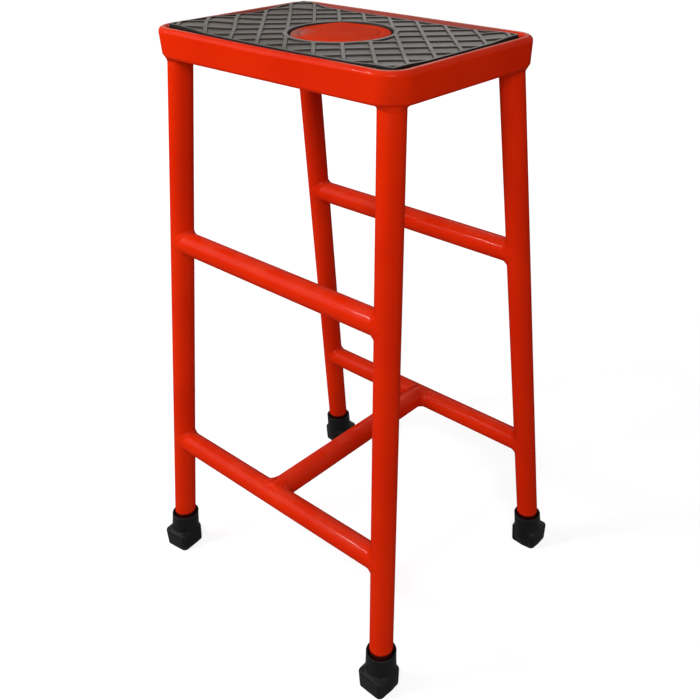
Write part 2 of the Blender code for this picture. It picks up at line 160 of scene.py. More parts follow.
MAT_LIFTS = {
    "front_left": (0.0033, 0.040, 0.085),
    "front_right": (0.0014, 0.034, 0.034),
    "back_right": (0.0018, 0.034, 0.034),
    "back_left": (0.0034, 0.030, 0.050),
}
MAT_SPREADS = {"front_left": (-0.0030, -0.0022), "back_right": (0.0006, 0.0004)}

# Used shape: the sagging front edge of mat and rim, the disc's bulge, the feet's turns in degrees

FRONT_SAG = 0.0010
FRONT_SAG_REACH = 0.035
FRONT_SAG_SPAN = 0.42
MAT_SAG_SHARE = 1.6
RIM_SAG_START = 0.006
RIM_SAG_END = 0.014
DISC_BULGE = 0.0011
DISC_BULGE_X = -0.0335
DISC_BULGE_Y = 0.0335
DISC_BULGE_REACH = 0.016
FOOT_TURNS = {"front_left": 7.0, "front_right": -1.0, "back_right": -0.5, "back_left": 0.0}

# Used finish: where the disc is pale and where the rim's inner slope keeps its plain red, and how far the
# paint's marks, its painted highlight and its painted shade run

DISC_PALE_PLACE = (-0.0380, -0.0310, 0.6300)
DISC_PALE_CORE = 0.006
DISC_PALE_REACH = 0.030
DISC_MARGIN = 0.0010
SEAT_START = 0.0040
SEAT_FULL = 0.0030
UNDARKENED_RIM_PLACES = ((-0.1480, -0.0960, 0.6300), (0.1480, 0.0960, 0.6300))
UNDARKENED_RIM_CORE = 0.018
UNDARKENED_RIM_REACH = 0.040
SLOPE_DARK_START = 0.0004
SLOPE_DARK_FULL = 0.0018
OUTSIDE_DISC_FULL = 0.0080
CREST_HIGHLIGHT_START = 0.0005
CREST_HIGHLIGHT_FULL = 0.0001
LEG_SHADE_START = 0.0058
LEG_SHADE_FULL = 0.0030

# Colours of the finishes, as linear red, green and blue

RED_DEEP = (0.640, 0.0170, 0.0010)
RED_BRIGHT = (0.700, 0.0215, 0.0014)
RED_DUST = (0.55, 0.18, 0.10)
# Darker, greyer paint for the rim's inward-facing slopes
RIM_SLOPE_DARK = (0.190, 0.072, 0.060)
# Painted highlight: a pale line along the rim's crest
CREST_PAINTED_HIGHLIGHT = (0.620, 0.240, 0.180)
DISC_DULL = (0.620, 0.055, 0.008)
DISC_PALE = (0.300, 0.140, 0.120)
# Painted shade: near black for the legs just above the feet
LEG_END_SHADE = (0.006, 0.0036, 0.0034)
MAT_DARK = (0.0265, 0.0200, 0.0148)
MAT_LIGHT = (0.0370, 0.0287, 0.0216)
# Paler colour for the ribs' tops
MAT_RIB_TOP_PALE = (0.0490, 0.0372, 0.0270)
MAT_DUST = (0.100, 0.080, 0.062)
MAT_RIB_WALL = (0.0240, 0.0180, 0.0150)
# Painted shade: near black for the mat's outer sides
MAT_OUTER_SIDE_SHADE = (0.0035, 0.0018, 0.0014)
FOOT_DARK = (0.0042, 0.0040, 0.0042)
FOOT_LIGHT = (0.0062, 0.0058, 0.0058)
FOOT_WEAR = (0.018, 0.016, 0.015)
FOOT_DUST = (0.035, 0.032, 0.030)
WHITE = (1.0, 1.0, 1.0, 1.0)

# Studio: each lamp's place, the height it aims at, its width and power; the sky's level and the floor's glow

LAMPS = {
    "left_key": ((-1.54, -1.38, 1.55), 0.35, 1.7, 27.0),
    "small_key": ((-0.50, -0.72, 1.05), 0.35, 0.12, 3.0),
    "right_key": ((1.42, -1.52, 1.55), 0.35, 1.3, 30.5),
    "back_light": ((-1.10, 1.75, 1.90), 0.60, 0.6, 5.0),
}
SKY_LEVEL = 0.160
FLOOR_HALF = 6.0
FLOOR_GREY = (0.40, 0.40, 0.40, 1.0)
FLOOR_GLOW_NEAR = 0.77
FLOOR_GLOW_FAR = 0.93
FLOOR_GLOW_START = 0.5
FLOOR_GLOW_END = 1.6

# Camera, solved from the frame's outlines: turns in degrees, lens in millimetres, shifts in picture widths

CAMERA_PLACE = (0.5854, -0.6021, 0.7858)
CAMERA_AZIMUTH = 40.643
CAMERA_ELEVATION = 28.309
CAMERA_ROLL = -0.138
LENS_LENGTH = 44.406
LENS_SENSOR = 36.0
LENS_SHIFT_X = -0.06687
LENS_SHIFT_Y = -0.05782


# Meshes from grids of points


def full_turn(steps):
    """Angles spaced evenly round one turn."""
    return np.linspace(0.0, 2.0 * np.pi, steps, endpoint=False)


def points_at(x, y, z):
    """Points from their three coordinates, each repeated over the rows and columns of the others."""
    return np.stack(np.broadcast_arrays(x, y, z), axis=-1)


def unit(vectors):
    """Vectors brought to a length of one."""
    return vectors / np.linalg.norm(vectors, axis=-1, keepdims=True)


def smooth_step(low, high, value):
    """Three t squared less two t cubed, where t runs from 0 at low to 1 at high."""
    t = np.clip((value - low) / (high - low), 0.0, 1.0)
    return t * t * (3.0 - 2.0 * t)


def bezier(a, b, c, d, share):
    """Cubic Bezier between arrays of points: shares cubed, three squared by one, and so on."""
    rest = 1.0 - share
    return rest**3 * a + 3.0 * rest**2 * share * b + 3.0 * rest * share**2 * c + share**3 * d


def grid_faces(rows, columns, wrap_rows):
    """Quads between neighbours of a grid whose columns close on themselves, and its rows if asked."""
    row, column = np.meshgrid(np.arange(rows if wrap_rows else rows - 1), np.arange(columns), indexing="ij")
    next_row = (row + 1) % rows
    next_column = (column + 1) % columns
    corners = (
        row * columns + column,
        row * columns + next_column,
        next_row * columns + next_column,
        next_row * columns + column,
    )
    return np.stack(corners, axis=-1).reshape(-1, 4)


def signed_volume(points, quads):
    """A sixth of the sum of each triangle's triple product: above zero where faces point outwards."""
    a, b, c, d = (points[quads[:, index]] for index in range(4))
    first = np.einsum("ij,ij->i", a, np.cross(b, c))
    second = np.einsum("ij,ij->i", a, np.cross(c, d))
    return (first + second).sum() / 6.0


def add_item(name, data):
    """Object that holds a mesh, a lamp or a camera, linked to the scene."""
    item = bpy.data.objects.new(name, data)
    bpy.context.scene.collection.objects.link(item)
    return item


def shade(mesh, sharp):
    """Smooth faces, with sharp edges where they meet at more than that many degrees."""
    mesh.update()
    mesh.shade_smooth()
    mesh.set_sharp_from_angle(angle=math.radians(sharp))


def mesh_object(name, points, faces, sharp=35.0):
    """Object over points and the faces between them."""
    mesh = bpy.data.meshes.new(name)
    mesh.from_pydata(points.tolist(), [], faces)
    shade(mesh, sharp)
    return add_item(name, mesh)


def add_surface(name, grid, wrap_rows=False, sharp=35.0):
    """Closed body over a grid (rows, columns, 3). Rows wrap to a ring, or get a flat cap at each end."""
    rows, columns = grid.shape[:2]
    points = grid.reshape(-1, 3)
    quads = grid_faces(rows, columns, wrap_rows)
    flip = signed_volume(points - points.mean(axis=0), quads) < 0.0
    if flip:
        quads = quads[:, ::-1]
    faces = quads.tolist()
    if not wrap_rows:
        first = list(range(columns))
        last = list(range((rows - 1) * columns, rows * columns))
        faces.append(first if flip else first[::-1])
        faces.append(last[::-1] if flip else last)
    return mesh_object(name, points, faces, sharp)


def dress(piece, material, slot, *nodes):
    """Gives a piece its finish, hangs it on the root body and hides the CAD nodes that it stands for."""
    piece.data.materials.append(material)
    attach(piece, "root")
    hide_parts(*nodes)


# Seat pan


def ring_pattern(long_steps, short_steps, corner_steps):
    """Shares that draw a rounded rectangle: where its arc's centre lies in X and Y, and its arc's angle."""
    arc = np.linspace(0.0, 0.5 * np.pi, corner_steps + 1)
    one = np.ones(corner_steps + 1)
    along = 1.0 - 2.0 * np.arange(1, long_steps) / long_steps
    across = 1.0 - 2.0 * np.arange(1, short_steps) / short_steps
    flat_long = np.ones(long_steps - 1)
    flat_short = np.ones(short_steps - 1)
    share_x = np.concatenate([one, along, -one, -flat_short, -one, -along, one, flat_short])
    share_y = np.concatenate([one, flat_long, one, across, -one, -flat_long, -one, -across])
    quarter = 0.5 * np.pi
    angles = []
    for turn, flat in enumerate((flat_long, flat_short, flat_long, flat_short)):
        angles.append(arc + turn * quarter)
        angles.append(flat * (turn + 1) * quarter)
    return share_x, share_y, np.concatenate(angles)


def rounded_rings(inset, height, corner, pattern, half_x, half_y):
    """Level rounded rectangles, one a row, each with its own inset, corner radius and height."""
    share_x, share_y, angle = pattern
    reach_x = (half_x - inset - corner)[:, None]
    reach_y = (half_y - inset - corner)[:, None]
    radius = corner[:, None]
    x = share_x * reach_x + radius * np.cos(angle)
    y = share_y * reach_y + radius * np.sin(angle)
    return points_at(x, y, height[:, None])


def section_rows(inset, height, inward, upward, extra=0.0):
    """Rows of a section from its columns; a plain number fills its column."""
    return np.stack(np.broadcast_arrays(inset, height, inward, upward, extra), axis=-1)


def pan_section(lip_steps=10, rim_steps=18, inner_steps=10, fillet_steps=8):
    """Outer face of the pan as arcs joined end to end: curled lip, skirt, rim, sloped band, floor fillet.

    Each row holds the inset, the height, the way to the inner face as (inward, up), and extra corner radius.
    """
    share = np.linspace(1.0, 0.0, lip_steps)
    angle = LIP_ANGLE * share
    inset = SKIRT_TAPER + LIP_RADIUS - LIP_RADIUS * np.cos(angle)
    height = LIP_Z + LIP_RADIUS * math.sin(LIP_ANGLE) - LIP_RADIUS * np.sin(angle)
    rows = [section_rows(inset, height, np.cos(angle), np.sin(angle), LIP_EXTRA_CORNER * share)]
    angle = np.linspace(0.0, 0.5 * np.pi, rim_steps)
    inset = RIM_RADIUS - RIM_RADIUS * np.cos(angle)
    height = CREST_Z - RIM_RADIUS + RIM_RADIUS * np.sin(angle)
    rows.append(section_rows(inset, height, np.cos(angle), -np.sin(angle)))
    angle = np.linspace(0.0, RIM_INNER_ANGLE, inner_steps)[1:]
    inset = RIM_RADIUS + RIM_RADIUS * np.sin(angle)
    height = CREST_Z - RIM_RADIUS + RIM_RADIUS * np.cos(angle)
    rows.append(section_rows(inset, height, -np.sin(angle), -np.cos(angle)))
    drop = height[-1] - PAN_FLOOR_Z - FLOOR_FILLET * (1.0 - math.cos(RIM_INNER_ANGLE))
    slope_end = inset[-1] + drop / math.tan(RIM_INNER_ANGLE)
    angle = np.linspace(RIM_INNER_ANGLE, 0.0, fillet_steps)
    inset = slope_end + FLOOR_FILLET * (math.sin(RIM_INNER_ANGLE) - np.sin(angle))
    height = PAN_FLOOR_Z + FLOOR_FILLET * (1.0 - np.cos(angle))
    rows.append(section_rows(inset, height, -np.sin(angle), -np.cos(angle)))
    return np.concatenate(rows)


def disc_section():
    """Centre disc as radius and rise: a rolled edge, a flat crown that rises as the square, a ring groove."""
    edge = DISC_RADIUS - DISC_EDGE * np.linspace(0.0, 1.0, 14)
    flat = np.linspace(DISC_RADIUS - DISC_EDGE, DISC_POLE, 56)[1:]
    radius = np.concatenate([edge, flat])
    grown = smooth_step(0.0, DISC_EDGE, DISC_RADIUS - radius)
    rise = (DISC_RISE + DISC_CROWN * (1.0 - (radius / DISC_RADIUS) ** 2)) * grown
    off_groove = np.abs(radius - GROOVE_RADIUS)
    rise = rise - GROOVE_DEPTH * (1.0 - smooth_step(0.3 * GROOVE_WIDTH, 0.7 * GROOVE_WIDTH, off_groove))
    return radius, rise


def front_sag(points):
    """Drop of the front edge: the square of one less the square of x, faded out away from that edge."""
    along = np.clip(1.0 - (points[..., 0] / (FRONT_SAG_SPAN * PAN_LENGTH)) ** 2, 0.0, 1.0) ** 2
    near = 1.0 - smooth_step(0.0, FRONT_SAG_REACH, points[..., 1] + PAN_WIDTH / 2)
    return FRONT_SAG * along * near


def make_pan(material):
    """Pressed sheet: the section carried round a rounded rectangle, its inner face a sheet's thickness in.

    The disc bulges by e to the minus square of the distance from a place at its far side. Of the front only
    the rim sags.
    """
    inset, height, inward, upward, extra = pan_section().T
    pattern = ring_pattern(30, 20, 20)
    half_x = PAN_LENGTH / 2
    half_y = PAN_WIDTH / 2
    outer = rounded_rings(inset, height, PAN_CORNER - inset + extra, pattern, half_x, half_y)
    deep = inset + SHEET * inward
    inner = rounded_rings(deep, height + SHEET * upward, PAN_CORNER - deep + extra, pattern, half_x, half_y)
    angle = np.arctan2(outer[-1, :, 1], outer[-1, :, 0])
    radius, rise = disc_section()
    x = radius[:, None] * np.cos(angle)
    y = radius[:, None] * np.sin(angle)
    top = points_at(x, y, PAN_FLOOR_Z + rise[:, None])
    bulge = np.exp(-(((x - DISC_BULGE_X) ** 2 + (y - DISC_BULGE_Y) ** 2) / DISC_BULGE_REACH**2))
    top[..., 2] += DISC_BULGE * bulge * (rise > 0.5 * DISC_RISE)[:, None]
    under = top - np.array([0.0, 0.0, SHEET])
    grid = np.concatenate([top[::-1], outer[::-1], inner, under])
    at_front = 1.0 - smooth_step(RIM_SAG_START, RIM_SAG_END, grid[..., 1] + half_y)
    grid[..., 2] -= front_sag(grid) * (smooth_step(LIP_Z, CREST_Z, grid[..., 2]) * at_front)
    dress(add_surface("pressed_seat_pan", grid, sharp=50.0), material, "red_paint", "seat_pan")


# Tubes of the frame


def leg_axis(corner, z):
    """Points on a leg's axis: it leans outward evenly below the lip of the pan."""
    drop = 1.0 - np.asarray(z) / LIP_Z
    x = corner[0] * (PAN_LENGTH / 2 - LEG_INSET + LEG_SPREAD_X * drop)
    y = corner[1] * (PAN_WIDTH / 2 - LEG_INSET + LEG_SPREAD_Y * drop)
    return points_at(x, y, z)


def leg_direction(corner):
    """Way up a leg's axis, with a length of one."""
    return unit(leg_axis(corner, LEG_TOP_Z) - leg_axis(corner, 0.0))


def level_cut(corner, radius, z, steps):
    """Level cuts through a leaning tube: circles across its axis, each point slid along it to its height."""
    direction = leg_direction(corner)
    first = unit(np.cross(direction, [0.0, 1.0, 0.0]))
    second = np.cross(direction, first)
    angle = full_turn(steps)
    around = np.cos(angle)[:, None] * first + np.sin(angle)[:, None] * second
    z = np.array(z)[:, None]
    points = leg_axis(corner, z) + np.array(radius)[:, None, None] * around
    slide = (z - points[..., 2]) / direction[2]
    return points + slide[..., None] * direction


def make_legs(material, steps=96):
    """Straight tubes with walls: outer face up, inner face down, a short bevel at each outer rim."""
    bore = TUBE_RADIUS - TUBE_WALL
    radius = [TUBE_RADIUS - TUBE_EDGE, TUBE_RADIUS, TUBE_RADIUS, TUBE_RADIUS - TUBE_EDGE, bore, bore]
    z = [LEG_BOTTOM_Z, LEG_BOTTOM_Z + TUBE_EDGE, LEG_TOP_Z - TUBE_EDGE, LEG_TOP_Z, LEG_TOP_Z, LEG_BOTTOM_Z]
    for place, corner in CORNERS.items():
        piece = add_surface("leg_tube_" + place, level_cut(corner, radius, z, steps), wrap_rows=True)
        dress(piece, material, "red_paint", "leg_" + place)


def meet_cylinder(start, direction, origin, axis, radius):
    """Where lines first meet a cylinder, or pass it nearest: a quadratic's lower root, its square floored."""
    flat_direction = direction - axis * (direction @ axis)
    offset = start - origin
    flat_offset = offset - (offset @ axis)[..., None] * axis
    a = flat_direction @ flat_direction
    b = flat_offset @ flat_direction
    c = np.einsum("...i,...i->...", flat_offset, flat_offset) - radius * radius
    root = np.sqrt(np.maximum(b * b - a * c, 0.0))
    return start + ((-b - root) / a)[..., None] * direction


def seam(centre, direction, radius, target, steps):
    """Curve where a tube of that radius meets the target tube, not past its axis, and the tube's normals."""
    origin, axis = target
    up = np.array([0.0, 0.0, 1.0])
    sideways = np.cross(up, direction)
    angle = full_turn(steps)
    around = np.cos(angle)[:, None] * sideways + np.sin(angle)[:, None] * up
    points = meet_cylinder(centre + radius * around, direction, origin, axis, TUBE_RADIUS)
    limit = (origin - centre) @ direction
    too_far = np.maximum((points - centre) @ direction - limit, 0.0)
    return points - too_far[:, None] * direction, around


def make_rail(name, solid, centre, direction, low, high, material, steps=96):
    """Level tube whose ends follow the seams with two other tubes, outside and inside its wall."""
    same_way_round = (steps // 2 - np.arange(steps)) % steps
    rings = []
    for radius in (TUBE_RADIUS, TUBE_RADIUS - TUBE_WALL):
        rings.append(seam(centre, -direction, radius, low, steps)[0][same_way_round])
        rings.append(seam(centre, direction, radius, high, steps)[0])
    outer_low, outer_high, inner_low, inner_high = rings
    piece = add_surface(name, np.stack([outer_low, outer_high, inner_high, inner_low]), wrap_rows=True)
    dress(piece, material, "red_paint", solid)


def onto_tube(points, target):
    """Each point moved square to the target tube's axis until it lies a hair inside that tube's wall."""
    origin, axis = target
    offset = points - origin
    along = (offset @ axis)[:, None] * axis
    return origin + along + (TUBE_RADIUS - SINK) * unit(offset - along)


def bead_grid(points, normal_a, normal_b, along_a, along_b, size, ripple, target=None):
    """Fillet carried along a seam: a hollow Bezier from one piece to the other, and a root sunk into both.

    As a hand-laid bead does, the size swells by a few hundredths in three and in seven waves round the seam,
    and the crown ripples every five points. A second piece that is a tube is given as the target, and the
    fillet's far foot follows its round wall.
    """
    count = len(points)
    station = np.arange(count) * (2.0 * np.pi / count)
    swell = 1.0 + 0.07 * np.sin(3.0 * station + 0.6) + 0.05 * np.sin(7.0 * station + 2.0)
    reach = size * swell[:, None]
    foot_a = points + along_a * reach - normal_a * SINK
    foot_b = points + along_b * reach - normal_b * SINK
    if target is not None:
        foot_b = onto_tube(foot_b, target)
    pull_a = points + along_a * reach * BEAD_HANDLE + normal_a * BEAD_FULLNESS
    pull_b = points + along_b * reach * BEAD_HANDLE + normal_b * BEAD_FULLNESS
    root = points - (normal_a + normal_b) * (2.0 * SINK)
    lift = unit(normal_a + normal_b)
    wave = ripple * np.sin(station * round(count / 5.0))[:, None]
    share = np.linspace(0.0, 1.0, 11)[:, None, None]
    fillet = bezier(foot_a, pull_a, pull_b, foot_b, share)
    fillet = fillet + lift * ((BEAD_CROWN + wave) * np.sin(np.pi * share))
    return np.concatenate([root[None], fillet])


def add_bead(name, solid, sections, material):
    """Weld bead over the points of its cross-sections, which follow each other round the seam."""
    piece = add_surface(name, sections.transpose(1, 0, 2), wrap_rows=True, sharp=BEAD_SHARP)
    dress(piece, material, "red_paint", solid)


def rail_bead(name, solid, centre, direction, target, size, material, steps=120):
    """Bead round a rail's end, its two feet square to the seam, one along the rail, one on the target.

    The foot on the target is turned where it would point into the rail, or, nearly square to the rail's
    wall, would run along the rail.
    """
    origin, axis = target
    points, normal_rail = seam(centre, direction, TUBE_RADIUS, target, steps)
    tangent = unit(np.roll(points, -1, axis=0) - np.roll(points, 1, axis=0))
    offset = points - origin
    normal_target = unit(offset - (offset @ axis)[:, None] * axis)
    along_rail = unit(np.cross(normal_rail, tangent))
    along_rail = np.where((along_rail @ direction > 0.0)[:, None], -along_rail, along_rail)
    along_target = unit(np.cross(normal_target, tangent))
    facing = np.einsum("ij,ij->i", along_target, normal_rail)
    toward = np.einsum("ij,ij->i", along_target, along_rail)
    into_rail = facing < -0.2
    nearly_square = (facing < 0.5) & ~into_rail
    turn = into_rail | (nearly_square & (toward > 0.0))
    along_target = np.where(turn[:, None], -along_target, along_target)
    ways = normal_rail, normal_target, along_rail, along_target
    sections = bead_grid(points, *ways, size, BEAD_RIPPLE, target)
    add_bead(name, solid, sections, material)


def make_seat_beads(material, steps=120):
    """Beads between the legs' tops and the underside of the pan's floor."""
    for place, corner in CORNERS.items():
        direction = leg_direction(corner)
        points = level_cut(corner, [TUBE_RADIUS], [LEG_TOP_Z], steps)[0]
        down = np.broadcast_to([0.0, 0.0, -1.0], points.shape)
        offset = points - leg_axis(corner, LEG_TOP_Z)
        normal_leg = unit(offset - (offset @ direction)[:, None] * direction)
        outward = unit(offset * [1.0, 1.0, 0.0])
        below = np.broadcast_to(-direction, points.shape)
        sections = bead_grid(points, normal_leg, down, below, outward, SEAT_WELD_SIZE, SEAT_BEAD_RIPPLE)
        add_bead("seat_bead_" + place, "weld_seat_" + place, sections, material)


def make_lip_beads(material, steps=96):
    """Fillets from the pan's lip down onto the legs: a hollow Bezier, widest at the sides, gone behind."""
    share = np.linspace(0.0, 1.0, 11)[:, None]
    angle = full_turn(steps)
    for place, corner in CORNERS.items():
        outward = math.atan2(corner[1], corner[0])
        off = np.abs((angle - outward + np.pi) % (2.0 * np.pi) - np.pi)
        size = 1.0 - LIP_BEAD_FADE * smooth_step(LIP_BEAD_FADE_START, LIP_BEAD_FADE_END, off)
        widening = smooth_step(0.0, LIP_BEAD_WIDE, off)
        gap = (LIP_BEAD_NEAR + (LIP_BEAD_FAR - LIP_BEAD_NEAR) * widening) * size
        drop = (LIP_BEAD_DROP_NEAR + (LIP_BEAD_DROP_FAR - LIP_BEAD_DROP_NEAR) * widening) * size
        reach = bezier(gap, 0.66 * gap, 0.14 * gap, -SINK, share)
        fall = bezier(0.0, 0.20 * drop, 0.55 * drop, drop, share)
        root = np.full((1, steps), -2.0 * SINK)
        reach = np.concatenate([root, reach, root])
        fall = np.concatenate([fall[:1], fall, fall[-1:]])
        around = points_at(np.cos(angle), np.sin(angle), 0.0)
        grid = leg_axis(corner, LIP_Z + SINK - fall) + (TUBE_RADIUS + reach)[..., None] * around
        piece = add_surface("lip_bead_" + place, grid, wrap_rows=True, sharp=BEAD_SHARP)
        dress(piece, material, "red_paint", "weld_seat_" + place)


def make_rails(material):
    """Two levels of front and back rails between the legs, and a stretcher between the lower two."""
    along_x = np.array([1.0, 0.0, 0.0])
    along_y = np.array([0.0, 1.0, 0.0])
    for level, z in (("upper", UPPER_RAIL_Z), ("lower", LOWER_RAIL_Z)):
        for side, sign in (("front", -1), ("back", 1)):
            left = leg_axis((-1, sign), z), leg_direction((-1, sign))
            right = leg_axis((1, sign), z), leg_direction((1, sign))
            centre = left[0] * [0.0, 1.0, 1.0]
            place = level + "_" + side
            make_rail("tube_" + place, "rail_" + place, centre, along_x, left, right, material)
            for end, direction, target in (("left", -along_x, left), ("right", along_x, right)):
                tail = place + "_" + end
                rail_bead("bead_" + tail, "weld_" + tail, centre, direction, target, WELD_SIZE, material)
    centre = np.array([0.0, 0.0, STRETCHER_Z])
    front, back = ((leg_axis((1, sign), LOWER_RAIL_Z) * [0.0, 1.0, 1.0], along_x) for sign in (-1, 1))
    make_rail("tube_stretcher", "centre_stretcher", centre, along_y, front, back, material)
    for end, direction, target in (("front", -along_y, front), ("back", along_y, back)):
        names = "stretcher_bead_" + end, "weld_stretcher_" + end
        rail_bead(*names, centre, direction, target, STRETCHER_WELD_SIZE, material)


# Rubber mat


def rib_lines(count):
    """Places across one direction of the lattice: close together at each rib's rounded sides."""
    side = np.array([0.0, 0.60, 0.86, 0.93, 0.99, 1.05, 1.12, 1.19, 1.26, 1.34]) * (RIB_WIDTH / 2)
    pocket = np.array([0.30, 0.42]) * RIB_PITCH
    near = np.concatenate([side, pocket])
    one = np.concatenate([-near[:0:-1], near])
    lines = (np.arange(-count, count + 1) * RIB_PITCH)[:, None] + one
    return lines.ravel()


def rib_share(across):
    """One on top of a rib and nought on the floor, by the smooth step of the distance to the nearest rib."""
    distance = np.abs((across + 0.5 * RIB_PITCH) % RIB_PITCH - 0.5 * RIB_PITCH)
    half = RIB_WIDTH / 2
    return 1.0 - smooth_step(RIB_TOP_SHARE * half, RIB_FOOT_SHARE * half, distance)


def mat_height(u, v):
    """Top of the mat over the lattice's own axes: the higher of two sets of ribs."""
    ribs = np.maximum(rib_share(u), rib_share(v))
    return MAT_TOP_Z - RIB_HEIGHT * (1.0 - ribs)


def make_mat_sheet():
    """Lattice sheet: a grid along the two diagonals, kept where it lies near the mat, closed by a flat floor.

    Each cell kept has a quad on top and one below. An edge that no neighbour runs the other way gets a wall.
    """
    count = int(math.ceil(math.hypot(MAT_LENGTH, MAT_WIDTH) / 2 / RIB_PITCH))
    lines = rib_lines(count)
    u, v = np.meshgrid(lines, lines, indexing="ij")
    half = math.sqrt(0.5)
    x = half * (u - v)
    y = half * (u + v)
    near = (np.abs(x) < MAT_LENGTH / 2 + SHEET_SPARE) & (np.abs(y) < MAT_WIDTH / 2 + SHEET_SPARE)
    row, column = np.nonzero(near[:-1, :-1] | near[1:, :-1] | near[:-1, 1:] | near[1:, 1:])
    size = lines.size
    first = row * size + column
    top = np.stack([first, first + size, first + size + 1, first + 1], axis=-1)
    below = size * size
    edge = np.concatenate([top[:, [0, 1]], top[:, [1, 2]], top[:, [2, 3]], top[:, [3, 0]]])
    key = edge[:, 0] * below + edge[:, 1]
    mirror = edge[:, 1] * below + edge[:, 0]
    rim = edge[~np.isin(key, mirror)]
    wall = np.stack([rim[:, 1], rim[:, 0], rim[:, 0] + below, rim[:, 1] + below], axis=-1)
    quads = np.concatenate([top, top[:, ::-1] + below, wall])
    upper = points_at(x, y, mat_height(u, v)).reshape(-1, 3)
    lower = points_at(x, y, MAT_BOTTOM_Z).reshape(-1, 3)
    used, index = np.unique(quads, return_inverse=True)
    return np.concatenate([upper, lower])[used], index.reshape(quads.shape)


def lathe(name, section, steps, wrap_rows=True):
    """A section (radius, height) turned round the Z axis: a ring, or a plug with a flat face at each end."""
    radius, height = np.array(section).T[..., None]
    angle = full_turn(steps)
    return add_surface(name, points_at(radius * np.cos(angle), radius * np.sin(angle), height), wrap_rows)


def cut(item, tool, operation):
    """Boolean step on a piece, left live until all are applied together."""
    step = item.modifiers.new(operation.lower(), "BOOLEAN")
    step.operation = operation
    step.solver = "EXACT"
    step.object = tool


def applied(item, *helpers):
    """Replaces a piece's mesh by its evaluated one, and removes the helpers that shaped it."""
    graph = bpy.context.evaluated_depsgraph_get()
    mesh = bpy.data.meshes.new_from_object(item.evaluated_get(graph))
    item.modifiers.clear()
    old = item.data
    item.data = mesh
    bpy.data.meshes.remove(old)
    for helper in helpers:
        bpy.data.objects.remove(helper, do_unlink=True)


def bend_mat(points):
    """Lifts each corner by a flat-topped bell with its own reach along X and Y, and lets the front edge sag.

    The bell is e to the minus square of the summed squares. A corner that climbs the rim also spreads.
    """
    bent = points.copy()
    for place, (side_x, side_y) in CORNERS.items():
        lift, reach_x, reach_y = MAT_LIFTS[place]
        away_x = (points[:, 0] - side_x * MAT_LENGTH / 2) / reach_x
        away_y = (points[:, 1] - side_y * MAT_WIDTH / 2) / reach_y
        bell = np.exp(-((away_x**2 + away_y**2) ** 2))
        spread_x, spread_y = MAT_SPREADS.get(place, (0.0, 0.0))
        bent += bell[:, None] * [spread_x, spread_y, lift]
    bent[:, 2] -= MAT_SAG_SHARE * front_sag(points)
    return bent


def make_mat(material):
    """Lattice sheet cut inside a plain border, with a plain ring round the hole that is bored for the disc.

    The border and the ring start a small step above the sheet's underside, so that no two flat faces share a
    plane where the pieces are joined. Both have the same flank down to the sheet.
    """
    points, quads = make_mat_sheet()
    mat = mesh_object("ribbed_seat_mat", points, quads.tolist())
    half_x = MAT_LENGTH / 2
    half_y = MAT_WIDTH / 2
    low = MAT_BOTTOM_Z - CUTTER_REACH
    high = MAT_TOP_Z + CUTTER_REACH
    inset = np.full(2, MAT_BORDER / 2)
    pattern = ring_pattern(2, 2, 12)
    field = rounded_rings(inset, np.array([low, high]), MAT_CORNER - inset, pattern, half_x, half_y)
    field = add_surface("helper_field", field)
    base = MAT_BOTTOM_Z + MAT_BASE_STEP
    top = MAT_TOP_Z + MAT_TOP_STEP
    floor = MAT_TOP_Z - RIB_HEIGHT
    nick = 0.3 * MAT_EDGE
    flank = [
        (-nick, top),
        (0.0, top - nick),
        (0.7 * RIB_FLARE, floor + 0.2 * RIB_HEIGHT),
        (RIB_FLARE, floor - FLARE_FOOT_STEP),
        (RIB_FLARE, base),
    ]
    border_section = [(0.0, base), (0.0, top - MAT_EDGE), (nick, top - nick), (MAT_EDGE, top)]
    border_section += [(MAT_BORDER + away, z) for away, z in flank]
    inset, height = np.array(border_section).T
    border = rounded_rings(inset, height, MAT_CORNER - inset, ring_pattern(60, 40, 16), half_x, half_y)
    border = add_surface("helper_border", border, wrap_rows=True)
    ring_radius = HOLE_RADIUS + HOLE_RING
    ring_section = [(HOLE_RADIUS - RING_SPARE, base)]
    ring_section += [(ring_radius + away, z) for away, z in reversed(flank)]
    ring_section += [(HOLE_RADIUS - RING_SPARE, top)]
    ring = lathe("helper_ring", ring_section, 144)
    bore_section = [
        (HOLE_RADIUS, low),
        (HOLE_RADIUS, MAT_TOP_Z - MAT_EDGE),
        (HOLE_RADIUS + nick, MAT_TOP_Z - nick),
        (HOLE_RADIUS + MAT_EDGE, MAT_TOP_Z + BORE_TOP_STEP),
        (HOLE_RADIUS + MAT_EDGE, high),
    ]
    bore = lathe("helper_bore", bore_section, 144, wrap_rows=False)
    for tool, operation in ((field, "INTERSECT"), (border, "UNION"), (ring, "UNION"), (bore, "DIFFERENCE")):
        cut(mat, tool, operation)
    applied(mat, field, border, ring, bore)
    points = np.empty(len(mat.data.vertices) * 3)
    mat.data.vertices.foreach_get("co", points)
    mat.data.vertices.foreach_set("co", bend_mat(points.reshape(-1, 3)).ravel())
    shade(mat.data, 38.0)
    dress(mat, material, "mat_rubber", "seat_mat")


# Rubber feet


def square_reach(angle, half, corner):
    """Distance from the middle of a rounded square to its edge: to a flat side, or to a corner's arc."""
    folded = np.abs((angle + 0.25 * np.pi) % (0.5 * np.pi) - 0.25 * np.pi)
    flat = half / np.cos(folded)
    inner = half - corner
    both = np.cos(folded) + np.sin(folded)
    apart = np.cos(folded) - np.sin(folded)
    arc = inner * both + np.sqrt(np.maximum(corner**2 - (inner * apart) ** 2, 0.0))
    return np.where(flat * np.sin(folded) <= inner, flat, arc)


